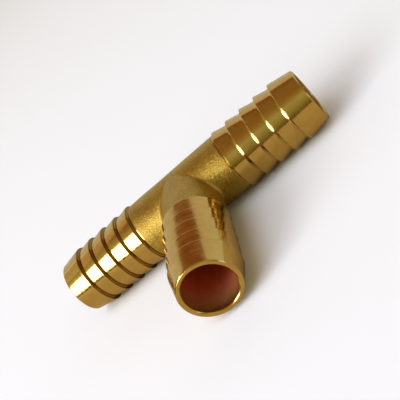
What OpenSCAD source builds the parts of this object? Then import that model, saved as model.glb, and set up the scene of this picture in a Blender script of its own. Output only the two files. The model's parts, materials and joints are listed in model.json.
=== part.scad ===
// Barbed tee connector for 13 mm irrigation hose.
// A forged brass tee body carries a turned hose nozzle on each end of its
// straight run and on its branch. Turning leaves a shallow neck groove between
// the forging's skin and the first barb. The run lies along X and the branch
// points towards -Y. The origin is where the two bore axes cross.

/* [Barbs] */
// Diameter over the barb crests, which the hose stretches over
crest_d = 13.6; // [13.4:0.1:14.2]
// Depth of the groove at the foot of each barb's ramp, below the crests
groove_depth = 0.65; // [0.4:0.01:0.75]
// Radius in the corner at the foot of each step
root_r = 0.12; // [0.05:0.01:0.15]
// Number of barbs on each nozzle
barb_count = 5; // [2:1:5]
// Distance from one barb to the next
barb_pitch = 3.6; // [3.2:0.1:4.4]
// Width of the narrow cylindrical land on top of each barb
crest_land = 0.3; // [0.1:0.05:1]

/* [Nozzle ends] */
// Distance from the centre to each end face of the run
run_reach = 31.5; // [30:0.1:50]
// Distance from the centre to the end face of the branch
branch_reach = 32.1; // [30:0.1:50]
// Outside diameter at the nozzle's end
tip_d = 11.85; // [11.4:0.05:12.4]
// Chamfer on the outer and inner edges of the end face
edge_chamfer = 0.2; // [0.05:0.05:0.3]

/* [Tee body] */
// Outside diameter of the run and of the branch neck
body_d = 12.85; // [12.6:0.05:13]
// Distance from the centre to where turning starts, on both ends of the run
run_neck = 11.4; // [10:0.1:11.5]
// Distance from the centre to where turning starts on the branch
branch_neck = 12; // [10:0.1:12.1]
// Distance from the centre to the first barb on the left end of the run
left_shoulder = 12.15; // [11.8:0.05:13]
// Distance from the centre to the first barb on the right end of the run
right_shoulder = 11.8; // [11.8:0.05:13]
// Distance from the centre to the first barb on the branch
branch_shoulder = 12.4; // [12.4:0.05:13]

/* [Bore] */
// Diameter of the bores through the run and the branch
bore_d = 10; // [6:0.1:10.3]

/* [Hidden] */
$fn = 96;

crest_r = crest_d / 2;
groove_r = crest_r - groove_depth;
tip_r = tip_d / 2;
body_r = body_d / 2;
bore_r = bore_d / 2;
ramp_angle = atan2(groove_depth, barb_pitch - crest_land);
// Straight pieces in the arc at the foot of each step
root_steps = 6;
// How far a bore's cutter runs past the faces that it opens
cut_margin = 1;

forged_colour = [0.66, 0.54, 0.25];
turned_colour = [0.78, 0.62, 0.28];

// Arc in the corner between a slope that falls at the given angle and the
// step at its foot, as [radius, distance] points
function root_arc(step, angle) =
    let (centre = [groove_r + root_r / tan(45 - angle / 2), step - root_r])
    [for (i = [0:root_steps])
        let (turn = (90 + angle) * i / root_steps - angle)
        centre + root_r * [-cos(turn), sin(turn)]];

// The edges of the land above a step
function land_outline(step) = [[crest_r, step], [crest_r, step + crest_land]];

// Half section of a nozzle. The first barb's step is at shoulder and the end
// face at length, both from the face where the forging ends.
module nozzle_section(shoulder, length) {
    neck_angle = atan2(body_r - groove_r, shoulder);
    neck = concat(
        [[bore_r, 0], [body_r, 0]],
        root_arc(shoulder, neck_angle),
        land_outline(shoulder)
    );
    barbs = [
        for (barb = [1:barb_count - 1])
            let (step = shoulder + barb * barb_pitch)
            each concat(root_arc(step, ramp_angle), land_outline(step))
    ];
    tip = [
        [tip_r, length - edge_chamfer],
        [tip_r - edge_chamfer, length],
        [bore_r + edge_chamfer, length],
        [bore_r, length - edge_chamfer]
    ];
    polygon(concat(neck, barbs, tip));
}

// A nozzle along +Z, at its place on its own axis from the centre
module nozzle(neck, shoulder, reach) {
    color(turned_colour)
        translate([0, 0, neck])
            rotate_extrude()
                nozzle_section(shoulder - neck, reach - neck);
}

// Cylinders of the run and of the branch, which differ only in size
module tee_cylinders(radius, run_half, branch_length) {
    rotate([0, 90, 0])
        cylinder(r = radius, h = 2 * run_half, center = true);
    rotate([90, 0, 0])
        cylinder(r = radius, h = branch_length);
}

module forged_tee_body() {
    color(forged_colour)
        difference() {
            tee_cylinders(body_r, run_neck, branch_neck);
            tee_cylinders(bore_r, run_neck + cut_margin, branch_neck + cut_margin);
        }
}

module left_hose_barb() {
    rotate([0, -90, 0])
        nozzle(run_neck, left_shoulder, run_reach);
}

module right_hose_barb() {
    rotate([0, 90, 0])
        nozzle(run_neck, right_shoulder, run_reach);
}

module branch_hose_barb() {
    rotate([90, 0, 0])
        nozzle(branch_neck, branch_shoulder, branch_reach);
}

forged_tee_body();
left_hose_barb();
right_hose_barb();
branch_hose_barb();
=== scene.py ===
import json
import math

import bmesh
import bpy
import numpy as np
from mathutils import Matrix, Vector, noise


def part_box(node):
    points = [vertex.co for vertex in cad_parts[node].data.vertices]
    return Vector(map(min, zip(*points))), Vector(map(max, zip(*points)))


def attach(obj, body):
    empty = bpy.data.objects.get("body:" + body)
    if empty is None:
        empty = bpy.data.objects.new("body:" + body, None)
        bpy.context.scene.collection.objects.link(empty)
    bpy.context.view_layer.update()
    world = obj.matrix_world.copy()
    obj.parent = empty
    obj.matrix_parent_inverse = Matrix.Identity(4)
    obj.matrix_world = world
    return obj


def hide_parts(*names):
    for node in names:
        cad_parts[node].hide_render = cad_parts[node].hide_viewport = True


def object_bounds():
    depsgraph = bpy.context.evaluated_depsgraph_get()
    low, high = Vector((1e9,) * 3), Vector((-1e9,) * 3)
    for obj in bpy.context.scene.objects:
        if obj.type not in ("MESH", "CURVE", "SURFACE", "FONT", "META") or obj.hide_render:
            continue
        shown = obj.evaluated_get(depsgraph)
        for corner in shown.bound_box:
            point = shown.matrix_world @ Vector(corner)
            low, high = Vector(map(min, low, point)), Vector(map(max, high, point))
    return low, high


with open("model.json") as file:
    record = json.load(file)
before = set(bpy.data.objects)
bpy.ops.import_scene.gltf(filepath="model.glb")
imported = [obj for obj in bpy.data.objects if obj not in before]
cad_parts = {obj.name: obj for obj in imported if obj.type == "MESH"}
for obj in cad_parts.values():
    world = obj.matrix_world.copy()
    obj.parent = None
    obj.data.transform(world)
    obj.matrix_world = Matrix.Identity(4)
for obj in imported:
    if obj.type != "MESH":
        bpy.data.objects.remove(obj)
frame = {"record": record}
cad_low, cad_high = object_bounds()

MM = 0.001
BODY = "forged_tee_body"

# ---------------------------------------------------------------- sizes from the frame
mounts = {mount["name"]: mount for mount in frame["record"]["mounts"]}
crest_r = mounts["branch_hose_end"]["dims"]["r_mm"] * MM
crest_land = mounts["branch_hose_end"]["dims"]["length_mm"] * MM  # the CAD model's
bore_r = mounts["run_bore"]["dims"]["r_mm"] * MM
body_low, body_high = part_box(BODY)
body_r = body_high.z
run_end = body_high.x
branch_end = -body_low.y
floor_z = cad_low.z

# Sizes that the frame doesn't hold. They are the CAD model's
barb_count = 5
barb_pitch = 3.6 * MM
groove_depth = 0.65 * MM
tip_r = 5.925 * MM
edge_chamfer = 0.2 * MM

# ---------------------------------------------------------------- mesh helpers
sharp_angle = math.radians(50)  # an edge that bends more than this is shaded sharp
weld_distance = 1e-6  # points nearer than this become one
shortest_edge = 1e-7  # edges shorter than this are dissolved
smallest_sweep = 1e-6  # an arc of less than this, in radians, is a single point


def swung(first, last, sweep, share):
    """The arm first, turned a share of the way to the arm last. They are sweep radians apart."""
    if sweep < smallest_sweep:
        return first
    return (first * math.sin((1 - share) * sweep) + last * math.sin(share * sweep)) / math.sin(sweep)


def quarter_round(centre, radius, steps):
    """(along, out) points of a quarter circle, from straight out of its centre to straight along."""
    along, out = centre
    turns = np.linspace(0, math.pi / 2, steps + 1)
    return [(along + radius * math.sin(t), out + radius * math.cos(t)) for t in turns]


def rounded_corner(before, corner, after, radius, steps):
    """Points of the arc that rounds the corner of two straight lines."""
    corner = np.array(corner)
    back = np.array(before) - corner
    on = np.array(after) - corner
    back = back / np.linalg.norm(back)
    on = on / np.linalg.norm(on)
    half = math.acos(np.clip(back @ on, -1, 1)) / 2
    middle = (back + on) / np.linalg.norm(back + on)
    centre = corner + middle * radius / math.sin(half)
    first = corner + back * radius / math.tan(half) - centre
    last = corner + on * radius / math.tan(half) - centre
    sweep = math.pi - 2 * half
    return [tuple(centre + swung(first, last, sweep, i / steps)) for i in range(steps + 1)]


def between(start, stop, step):
    """Points strictly between two (along, out) points, about step apart."""
    count = max(1, round(math.dist(start, stop) / step))
    return [
        tuple(a + (b - a) * i / count for a, b in zip(start, stop))
        for i in range(1, count)
    ]


def rounded_outline(corners, corner_steps, line_step):
    """Closed outline through (along, out, radius) corners, with points along its straight sides."""
    outline = []
    for i, (along, out, radius) in enumerate(corners):
        before = corners[i - 1][:2]
        after = corners[(i + 1) % len(corners)][:2]
        if radius:
            bend = rounded_corner(before, (along, out), after, radius, corner_steps)
        else:
            bend = [(along, out)]
        if outline:
            outline += between(outline[-1], bend[0], line_step)
        outline += bend
    return outline + between(outline[-1], outline[0], line_step)


def grid_faces(rows, columns, first, closed=False):
    """Quads of a grid of points that starts at index first. closed joins its last row to its first."""
    faces = []
    for i in range(rows if closed else rows - 1):
        for j in range(columns - 1):
            a = first + i * columns + j
            b = first + (i + 1) % rows * columns + j
            faces.append((a, b, b + 1, a + 1))
    return faces


def finished_mesh(name, points, faces):
    """Closed mesh from loose patches: welded, with outward normals and sharp edges marked."""
    mesh = bpy.data.meshes.new(name)
    mesh.from_pydata(points, [], faces)
    solid = bmesh.new()
    solid.from_mesh(mesh)
    bmesh.ops.remove_doubles(solid, verts=solid.verts, dist=weld_distance)
    bmesh.ops.dissolve_degenerate(solid, dist=shortest_edge, edges=solid.edges)
    bmesh.ops.recalc_face_normals(solid, faces=solid.faces)
    for face in solid.faces:
        face.smooth = True
    for edge in solid.edges:
        edge.smooth = edge.calc_face_angle(0) < sharp_angle
    solid.to_mesh(mesh)
    solid.free()
    return mesh


# ---------------------------------------------------------------- turned nozzles
neck_root = 0.12 * MM  # the corner at the foot of the first step
neck_edge = 0.04 * MM  # how far the neck starts below the forging's skin
crest_edge = 0.05 * MM  # the crest's edge above a step
sharp_land = 0.1 * MM  # a crest's land before its edges are rounded
ramp_blend = 0.3 * MM  # where a land rolls over into its ramp
foot_slope = 0.25  # how steeply the foot of a ramp turns up
foot_blend = 0.5 * MM  # where a ramp turns into its foot
tip_edge = 0.12 * MM  # the outer corners of the end face
mouth_edge = 0.04 * MM  # the inner corners of the end face
corner_steps = 6
outline_step = 0.3 * MM
nozzle_segments = 192


def nozzle_outline(length, first_step, root_r, foot):
    """Half section of a nozzle: out along its inner face, over the barbs, round the tip and back.

    The points are (along, out). root_r rounds the corners at the steps. If foot isn't zero, the
    ramps turn up over that length before they meet the next step.
    """
    floor_r = crest_r - groove_depth
    corners = [(0, bore_r, 0), (0, body_r - neck_edge, 0), (neck_edge, body_r - neck_edge, 0)]
    for barb in range(barb_count):
        step = first_step + barb * barb_pitch
        if barb and foot:
            corners.append((step - foot, floor_r, foot_blend))
            corners.append((step, floor_r + foot * foot_slope, root_r))
        else:
            corners.append((step, floor_r, root_r if barb else neck_root))
        corners.append((step, crest_r, crest_edge))
        corners.append((step + sharp_land, crest_r, ramp_blend))
    corners.append((length - edge_chamfer, tip_r, tip_edge))
    corners.append((length, tip_r - edge_chamfer, tip_edge))
    corners.append((length, bore_r + edge_chamfer, mouth_edge))
    corners.append((length - edge_chamfer, bore_r, mouth_edge))
    return rounded_outline(corners, corner_steps, outline_step)


def nozzle_mesh(name, axis, start, length, first_step, root_r, foot):
    """Solid of revolution of the outline about one of the body's axes."""
    outline = nozzle_outline(length, first_step, root_r, foot)
    columns = len(outline)
    up = Vector((0, 0, 1))
    side = axis.cross(up)
    points = []
    for i in range(nozzle_segments):
        turn = 2 * math.pi * i / nozzle_segments
        out = up * math.cos(turn) + side * math.sin(turn)
        points += [axis * (start + along) + out * radius for along, radius in outline]
    faces = grid_faces(nozzle_segments, columns, 0, closed=True)
    for i in range(nozzle_segments):
        a = i * columns
        b = (i + 1) % nozzle_segments * columns
        faces.append((a + columns - 1, b + columns - 1, b, a))
    return finished_mesh(name, points, faces)


# ---------------------------------------------------------------- forged body
neck_fillet = 0.7 * MM  # between the run and the branch
skin_edge = 0.08 * MM  # the rounded rim where the skin ends
grain_size = 0.5 * MM
grain_relief = 0.02 * MM  # how far the forging's grain stands up
swell_size = 4.0 * MM
swell_relief = 0.04 * MM  # how far the forging wanders from a true cylinder
skin_slack = 0.02 * MM  # a point this far inside the skin still counts as on it
rim_fade = 0.6 * MM  # the unevenness dies out over this length before a rim
rim_steps = 3
skin_rows = 144
run_columns = 80
branch_columns = 84
fillet_columns = 8
bore_columns = 12


def side_line(reach, radius, steps, rim):
    """(along, out) points along a cylinder's side. With a rim, they go on round it to the bore."""
    line = [((reach - rim) * i / steps, radius) for i in range(steps + 1)]
    if rim:
        line += quarter_round((reach - rim, radius - rim), rim, rim_steps)[1:]
        line.append((reach, bore_r))
    return line


def stretched(line, start, steps):
    """The line with its straight part, of that many steps, starting at start instead of at zero."""
    end = line[steps][0]
    return [
        (start + (end - start) * i / steps if i <= steps else along, out)
        for i, (along, out) in enumerate(line)
    ]


def fillet_row(side, turn, radius, fillet):
    """Points across the fillet from the run to the branch, at one turn down from the top."""
    s, c = math.sin(turn), math.cos(turn)
    start = (radius + fillet) * s
    ball = Vector((start, -start, (radius + fillet) * c))
    to_run = Vector((0, fillet * s, -fillet * c))
    to_branch = Vector((-fillet * s, 0, -fillet * c))
    sweep = math.acos(min(1.0, c * c))
    row = []
    for i in range(fillet_columns + 1):
        point = ball + swung(to_run, to_branch, sweep, i / fillet_columns)
        row.append((side * point.x, point.y, point.z))
    return row


def tee_patches(radius, fillet, run_steps, branch_steps, rim):
    """Point grids that cover a tee of two equal cylinders, with a rolling-ball fillet in the crotch.

    Rows turn about the run or the branch from the top (+Z) to the bottom. Columns go along it.
    """
    turns = np.linspace(0, math.pi, skin_rows + 1)
    run_line = side_line(run_end, radius, run_steps, rim)
    branch_line = side_line(branch_end, radius, branch_steps, rim)
    patches = []
    for side in (1, -1):
        run_rows, branch_rows, fillet_rows = [], [], []
        for turn in turns:
            s, c = math.sin(turn), math.cos(turn)
            start = (radius + fillet) * s
            run = stretched(run_line, start, run_steps)
            branch = stretched(branch_line, start, branch_steps)
            run_rows.append([(side * a, -r * s, r * c) for a, r in run])
            branch_rows.append([(side * r * s, -a, r * c) for a, r in branch])
            if fillet:
                fillet_rows.append(fillet_row(side, turn, radius, fillet))
        patches += [run_rows, branch_rows]
        if fillet:
            patches.append(fillet_rows)

    # The half of the run that faces away from the branch
    back_line = [(-a, r) for a, r in reversed(run_line)] + run_line[1:]
    patches.append([[(a, r * math.sin(t), r * math.cos(t)) for a, r in back_line] for t in turns])
    return patches


def roughen(mesh):
    """Gives the outer skin the uneven surface of a forging. The bores stay smooth."""
    places = np.zeros(len(mesh.vertices) * 3, dtype=np.float32)
    mesh.vertices.foreach_get("co", places)
    places = places.reshape(-1, 3)
    normals = np.zeros(len(mesh.vertices) * 3, dtype=np.float32)
    mesh.vertex_normals.foreach_get("vector", normals)
    normals = normals.reshape(-1, 3)
    from_run = np.hypot(places[:, 1], places[:, 2])
    from_branch = np.hypot(places[:, 0], places[:, 2])
    nearest = np.where(places[:, 1] < 0, np.minimum(from_run, from_branch), from_run)
    to_rim = np.minimum(run_end - np.abs(places[:, 0]), branch_end + places[:, 1]) - skin_edge
    for i in np.flatnonzero((nearest > body_r - skin_slack) & (to_rim > 0)):
        place = Vector(places[i])
        grain = noise.noise(place / grain_size)
        swell = noise.noise(place / swell_size)
        fade = min(1.0, to_rim[i] / rim_fade)
        places[i] += normals[i] * fade * (grain * grain_relief + swell * swell_relief)
    mesh.vertices.foreach_set("co", places.ravel())
    mesh.update()


def body_mesh(name):
    """Forged tee: outer skin, rims and the two bores that meet inside."""
    patches = tee_patches(body_r, neck_fillet, run_columns, branch_columns, skin_edge)
    patches += tee_patches(bore_r, 0, bore_columns, bore_columns, 0)
    points, faces = [], []
    for patch in patches:
        faces += grid_faces(len(patch), len(patch[0]), len(points))
        points += [point for row in patch for point in row]
    mesh = finished_mesh(name, points, faces)
    roughen(mesh)
    return mesh


# ---------------------------------------------------------------- materials
MM_PER_M = 1000
TURNED_COLOUR = (0.68, 0.46, 0.14)
TURNED_DARK = (0.61, 0.39, 0.11)
# painted shade: the step faces that look to the middle of the part are darkened to this
STEP_PAINTED_SHADE = (0.34, 0.22, 0.06)
# painted reflection: the red of light bounced round inside the bores, farther in from the mouths; the
# darker one varies it at random
BORE_PAINTED_RED = (0.80, 0.24, 0.12)
BORE_PAINTED_RED_DARK = (0.60, 0.15, 0.07)
FORGED_COLOUR = (0.65, 0.46, 0.10)
FORGED_DARK = (0.46, 0.28, 0.045)

TURNED_ROUGHNESS = (0.08, 0.14)
SMUDGE_ROUGHNESS = (0, 0.08)  # what the smudges add to it
DRILLED_ROUGHNESS = (0.3, 0.45)
FORGED_ROUGHNESS = (0.33, 0.45)
NOISE_RANGE = (0.3, 0.7)  # where most of a noise's values lie
SMUDGE_RANGE = (0.4, 0.8)  # where a smudge begins, and where it is at its full strength

ring_tint = 0.15  # the most that the rings shift the colour, as a share of dark to light
ring_height = 0.004 * MM
ring_wander_mm = 0.25  # how far the rings stray from true circles
painted_shade_facing = (0.6, 0.9)  # painted shade comes in as the surface turns to face the middle of the part
painted_red_fade_mm = (28, 33)  # the bores' painted red of bounced light fades out between these distances from the origin
painted_red_wander_mm = 3  # how far the painted red's edge strays
# how metallic the bores are where the red is painted
painted_red_metallic = 0.3
grain_tint = 0.7  # how far the grain shifts the forging's colour
broad_tint = (0.2, 0.8)  # the forging's colour from patch to patch
pit_height = 0.13 * MM


class Nodes:
    """Short ways to add the nodes of one material or world."""

    def __init__(self, tree):
        self.tree = tree

    def add(self, kind, inputs=None, **settings):
        """A node with its settings and inputs. An input is a value or another node's output."""
        node = self.tree.nodes.new(kind)
        for key, value in settings.items():
            setattr(node, key, value)
        for key, value in (inputs or {}).items():
            if isinstance(value, bpy.types.NodeSocket):
                self.tree.links.new(value, node.inputs[key])
            else:
                node.inputs[key].default_value = value
        return node

    def math(self, operation, *values):
        node = self.add("ShaderNodeMath", dict(enumerate(values)), operation=operation)
        return node.outputs[0]

    def spread(self, value, low, high, start=0.0, stop=1.0):
        """Maps start..stop of a value to low..high."""
        inputs = {"Value": value, "From Min": start, "From Max": stop, "To Min": low, "To Max": high}
        return self.add("ShaderNodeMapRange", inputs).outputs["Result"]

    def mixed(self, share, first, second):
        """Blend of two colours."""
        node = self.add("ShaderNodeMix", {"Factor": share}, data_type="RGBA")
        for socket, colour in ((node.inputs[6], first), (node.inputs[7], second)):
            if isinstance(colour, bpy.types.NodeSocket):
                self.tree.links.new(colour, socket)
            else:
                socket.default_value = (*colour, 1)
        return node.outputs[2]

    def noise(self, place, scale, detail, dimensions="3D"):
        """Noise at a place in millimetres. Its largest lumps are about 1 / scale mm wide."""
        inputs = {"W" if dimensions == "1D" else "Vector": place, "Scale": scale, "Detail": detail}
        return self.add("ShaderNodeTexNoise", inputs, noise_dimensions=dimensions).outputs[0]

    def gradient(self, height, stops):
        """Colour for the sine of an elevation, from (elevation in degrees, colour) stops."""
        ramp = self.add("ShaderNodeValToRGB", {0: height})
        elements = ramp.color_ramp.elements
        while len(elements) < len(stops):
            elements.new(0.5)
        for element, (elevation, colour) in zip(elements, stops):
            element.position = math.sin(math.radians(elevation))
            element.color = (*colour, 1)
        return ramp.outputs[0]

    def bump(self, height, strength, distance):
        """Normal of a surface whose relief follows a height."""
        inputs = {"Height": height, "Strength": strength, "Distance": distance}
        return self.add("ShaderNodeBump", inputs).outputs[0]

    def parts(self, vector):
        """The X, Y and Z of a vector."""
        return self.add("ShaderNodeSeparateXYZ", {0: vector}).outputs

    def place_mm(self):
        """Position on the part in millimetres."""
        inputs = {0: self.add("ShaderNodeTexCoord").outputs["Object"], "Scale": MM_PER_M}
        return self.add("ShaderNodeVectorMath", inputs, operation="SCALE").outputs[0]


def new_metal(name):
    """A plain metal, with its nodes and a function that links them to its shader's inputs."""
    material = bpy.data.materials.new(name)
    material.use_nodes = True
    shader = material.node_tree.nodes["Principled BSDF"]
    shader.inputs["Metallic"].default_value = 1

    def link(output, socket):
        material.node_tree.links.new(output, shader.inputs[socket])

    return material, Nodes(material.node_tree), link


def turned_brass(axis):
    """Brass as the lathe leaves it: rings round the axis, faint smudges, and painted shade on the
    steps.
    """
    material, nodes, link = new_metal("turned_brass_" + axis.lower())
    place = nodes.place_mm()
    along = nodes.parts(place)[axis]
    facing = nodes.parts(nodes.add("ShaderNodeTexCoord").outputs["Normal"])[axis]
    to_middle = nodes.math("MULTIPLY", nodes.math("SIGN", along), -1)
    # painted shade on the step faces that look to the middle of the part
    painted_step_shade = nodes.spread(nodes.math("MULTIPLY", facing, to_middle), 0, 1, *painted_shade_facing)
    drift = nodes.noise(place, scale=0.35, detail=1)
    ring = nodes.math("MULTIPLY_ADD", drift, ring_wander_mm, along)
    fine = nodes.noise(ring, scale=7.0, detail=3, dimensions="1D")
    broad = nodes.noise(ring, scale=1.3, detail=2, dimensions="1D")
    smudge = nodes.noise(place, scale=0.5, detail=4)

    rings = nodes.spread(fine, -ring_tint, ring_tint)
    tint = nodes.math("ADD", rings, nodes.spread(smudge, 0, 1, *NOISE_RANGE))
    clean = nodes.mixed(tint, TURNED_DARK, TURNED_COLOUR)
    link(nodes.mixed(painted_step_shade, clean, STEP_PAINTED_SHADE), "Base Color")

    bare = nodes.spread(broad, *TURNED_ROUGHNESS, *NOISE_RANGE)
    smudged = nodes.spread(smudge, *SMUDGE_ROUGHNESS, *SMUDGE_RANGE)
    link(nodes.math("ADD", bare, smudged), "Roughness")
    link(nodes.bump(fine, strength=0.2, distance=ring_height), "Normal")
    return material


def drilled_brass():
    """Brass of the bores: clean metal at the mouths, with a painted dull red of light bounced round
    inside farther in.
    """
    material, nodes, link = new_metal("drilled_brass")
    place = nodes.place_mm()
    smudge = nodes.noise(place, scale=0.6, detail=4)
    parts = nodes.parts(place)
    along_run = nodes.math("ABSOLUTE", parts["X"])
    along_branch = nodes.math("MULTIPLY", parts["Y"], -1)
    along = nodes.math("MAXIMUM", along_run, along_branch)
    ragged = nodes.math("MULTIPLY_ADD", smudge, painted_red_wander_mm, along)
    mouth = nodes.spread(ragged, 0, 1, *painted_red_fade_mm)
    # painted red of light bounced round inside the bore, varied at random
    painted_red = nodes.mixed(smudge, BORE_PAINTED_RED_DARK, BORE_PAINTED_RED)
    link(nodes.mixed(mouth, painted_red, TURNED_DARK), "Base Color")
    link(nodes.spread(mouth, painted_red_metallic, 1), "Metallic")
    link(nodes.spread(smudge, *DRILLED_ROUGHNESS, *NOISE_RANGE), "Roughness")
    return material


def forged_brass():
    """Hot-forged, shot-blasted brass skin: a satin grain."""
    material, nodes, link = new_metal("forged_brass")
    place = nodes.place_mm()
    grain = nodes.noise(place, scale=4.0, detail=2)
    broad = nodes.noise(place, scale=0.4, detail=3)

    speckle = nodes.spread(grain, -grain_tint, grain_tint, *NOISE_RANGE)
    tint = nodes.math("ADD", speckle, nodes.spread(broad, *broad_tint, *NOISE_RANGE))
    link(nodes.mixed(tint, FORGED_DARK, FORGED_COLOUR), "Base Color")
    link(nodes.spread(grain, *FORGED_ROUGHNESS, *NOISE_RANGE), "Roughness")
    link(nodes.bump(grain, strength=1.0, distance=pit_height), "Normal")
    return material


turned = {"X": turned_brass("X"), "Y": turned_brass("Y")}
forged = forged_brass()
drilled = drilled_brass()

# ---------------------------------------------------------------- pieces
run_axis = Vector((1, 0, 0))
branch_axis = Vector((0, -1, 0))
bore_slack = 0.01 * MM  # a point this far outside a bore still counts as on it


def line_bores(mesh, axes):
    """Gives the faces on the bores the second material.

    axes holds a bore's axis, and whether the bore also runs the other way from the origin.
    """
    for face in mesh.polygons:
        corners = [mesh.vertices[i].co for i in face.vertices]
        for axis, two_way in axes:
            offsets = [(corner - axis * corner.dot(axis)).length for corner in corners]
            if max(offsets) < bore_r + bore_slack and (two_way or face.center.dot(axis) > 0):
                face.material_index = 1


def placed(name, mesh, node, material, bore_axes):
    """Makes the piece that stands for a CAD node."""
    piece = bpy.data.objects.new(name, mesh)
    bpy.context.scene.collection.objects.link(piece)
    mesh.materials.append(material)
    mesh.materials.append(drilled)
    line_bores(mesh, bore_axes)
    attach(piece, "root")
    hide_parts(node)


body_bores = [(run_axis, True), (branch_axis, False)]
placed("forged_body", body_mesh("forged_body"), BODY, forged, body_bores)

# Each nozzle's axis, where it starts and ends on it, the radius at the foot of its steps,
# and the length of its ramps' upturned feet
arms = {
    "left_hose_barb": (-run_axis, run_end, cad_high.x, 0.06 * MM, 0),
    "right_hose_barb": (run_axis, run_end, cad_high.x, 0.3 * MM, 0.7 * MM),
    "branch_hose_barb": (branch_axis, branch_end, -cad_low.y, 0.12 * MM, 0),
}
for node, (axis, start, tip, root_r, foot) in arms.items():
    last_crest = Vector(mounts[node.replace("barb", "end")]["pos_m"])
    last_step = last_crest.dot(axis) - crest_land / 2
    first_step = last_step - (barb_count - 1) * barb_pitch - start
    mesh = nozzle_mesh(node, axis, start, tip - start, first_step, root_r, foot)
    brass = turned["X" if axis.x else "Y"]
    placed(node.replace("_hose_barb", "_nozzle"), mesh, node, brass, [(axis, False)])

# ---------------------------------------------------------------- camera
camera_data = bpy.data.cameras.new("camera")
camera = bpy.data.objects.new("camera", camera_data)
bpy.context.scene.collection.objects.link(camera)
bpy.context.scene.camera = camera

view_azimuth = math.radians(16.81)  # from -Y, the side of the branch, towards +X
view_elevation = math.radians(25.85)
view_roll = math.radians(47.59)
view_distance = 149.4 * MM
view_target = Vector((0.86, -0.68, -1.86)) * MM
camera_data.sensor_width = 36
camera_data.lens = 65.7
camera_data.clip_start = 0.01
camera_data.clip_end = 20
view_back = Vector((
    math.sin(view_azimuth) * math.cos(view_elevation),
    -math.cos(view_azimuth) * math.cos(view_elevation),
    math.sin(view_elevation),
))
camera.location = view_target + view_back * view_distance
upright = (-view_back).to_track_quat("-Z", "Y").to_matrix()
camera.rotation_euler = (upright @ Matrix.Rotation(-view_roll, 3, "Z")).to_euler()

# ---------------------------------------------------------------- floor
FLOOR_COLOUR = (0.96, 0.97, 0.98)
FLOOR_IN_METAL = (0.54, 0.46, 0.29)  # dimmer in reflections, so that the brass keeps its depth
floor_half = 3.0

floor_mesh = bpy.data.meshes.new("floor")
floor_signs = [(-1, -1), (1, -1), (1, 1), (-1, 1)]
floor_corners = [(x * floor_half, y * floor_half, floor_z) for x, y in floor_signs]
floor_mesh.from_pydata(floor_corners, [], [(0, 1, 2, 3)])
floor = bpy.data.objects.new("floor", floor_mesh)
bpy.context.scene.collection.objects.link(floor)
floor_paint = bpy.data.materials.new("floor_paint")
floor_paint.use_nodes = True
floor_shader = floor_paint.node_tree.nodes["Principled BSDF"]
floor_nodes = Nodes(floor_paint.node_tree)
floor_seen = floor_nodes.add("ShaderNodeLightPath").outputs["Is Camera Ray"]
floor_colour = floor_nodes.mixed(floor_seen, FLOOR_IN_METAL, FLOOR_COLOUR)
floor_paint.node_tree.links.new(floor_colour, floor_shader.inputs["Base Color"])
floor_shader.inputs["Roughness"].default_value = 0.9
floor_shader.inputs["Specular IOR Level"].default_value = 0.1
floor_mesh.materials.append(floor_paint)

# ---------------------------------------------------------------- studio light
panel_distance = 1.4


def toward(bearing, elevation):
    """Unit vector. Bearing is in degrees from +Y towards +X, elevation in degrees above the floor."""
    b, e = math.radians(bearing), math.radians(elevation)
    return Vector((math.sin(b) * math.cos(e), math.cos(b) * math.cos(e), math.sin(e)))


def area_light(name, place, out, wide, high, radiance, roll=0):
    """Evenly lit rectangle that shines away from out. The camera doesn't see it."""
    data = bpy.data.lights.new(name, "AREA")
    data.shape = "RECTANGLE"
    data.size = wide
    data.size_y = high
    data.color = radiance
    data.energy = math.pi * data.size * data.size_y
    light = bpy.data.objects.new(name, data)
    light.location = place
    turn = Matrix.Rotation(math.radians(roll), 3, "Z")
    light.rotation_euler = (out.to_track_quat("Z", "Y").to_matrix() @ turn).to_euler()
    light.visible_camera = False
    bpy.context.scene.collection.objects.link(light)
    return light


def panel(name, bearing, elevation, wide, high, radiance, roll=0):
    """Soft light panel that faces the part and looks wide by high degrees from there."""
    out = toward(bearing, elevation)
    width, height = (2 * panel_distance * math.tan(math.radians(angle / 2)) for angle in (wide, high))
    return area_light(name, out * panel_distance, out, width, height, radiance, roll)


def back_wall(bearing, distance, width, top_elevation, radiance):
    """Upright wall behind the part, lit evenly. It reaches up to top_elevation, in degrees."""
    out = toward(bearing, 0)
    height = distance * math.tan(math.radians(top_elevation))
    area_light("back_wall", out * distance + Vector((0, 0, height / 2)), out, width, height, radiance)


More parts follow.
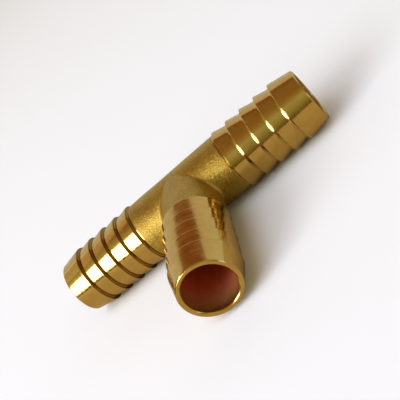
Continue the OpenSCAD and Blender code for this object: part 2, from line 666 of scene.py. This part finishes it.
panel("softbox", bearing=-131, elevation=23.5, wide=36, high=28, radiance=(7.2, 7.2, 8.0), roll=-18)
panel("right_low", bearing=108, elevation=6, wide=34, high=20, radiance=(0.8, 1.1, 1.9))
back_wall(bearing=3, distance=1.0, width=3.65, top_elevation=48.2, radiance=(0.38, 0.46, 0.50))
panel("left_strip", bearing=-67, elevation=38, wide=36, high=22, radiance=(0.33, 0.34, 0.27))

# Lights the floor round the part's shadow. It doesn't show in the metal's reflections
fill = panel("floor_fill", bearing=-140, elevation=60, wide=50, high=50, radiance=(1.72, 1.93, 2.42))
fill.visible_glossy = False

# The dim room as (elevation in degrees, colour) stops: behind the camera, and opposite it
FRONT_SKY = [
    (0, (0.16, 0.11, 0.04)),
    (10, (0.25, 0.21, 0.08)),
    (22, (0.36, 0.35, 0.165)),
    (42, (0.50, 0.49, 0.29)),
    (58, (0.36, 0.26, 0.10)),
    (72, (0.31, 0.185, 0.075)),
]
BACK_SKY = [
    (0, (0.27, 0.23, 0.13)),
    (46, (0.26, 0.125, 0.055)),
    (52, (0.26, 0.10, 0.048)),
    (66, (0.30, 0.18, 0.075)),
]
BACKDROP_COLOUR = (0.8, 0.8, 0.78)
sky_blend = (-0.15, 0.25)  # the front turns into the back between these Y parts of a direction


def studio_world():
    """A dim warm room, a little lighter behind the camera. The camera itself sees a pale backdrop."""
    world = bpy.data.worlds.new("studio")
    bpy.context.scene.world = world
    world.use_nodes = True
    nodes = Nodes(world.node_tree)
    parts = nodes.parts(nodes.add("ShaderNodeTexCoord").outputs["Generated"])
    front = nodes.gradient(parts["Z"], FRONT_SKY)
    back = nodes.gradient(parts["Z"], BACK_SKY)
    room = nodes.mixed(nodes.spread(parts["Y"], 0, 1, *sky_blend), front, back)
    seen = nodes.add("ShaderNodeLightPath").outputs["Is Camera Ray"]
    background = world.node_tree.nodes["Background"]
    world.node_tree.links.new(nodes.mixed(seen, room, BACKDROP_COLOUR), background.inputs["Color"])


studio_world()
view = bpy.context.scene.view_settings
view.view_transform = "Standard"
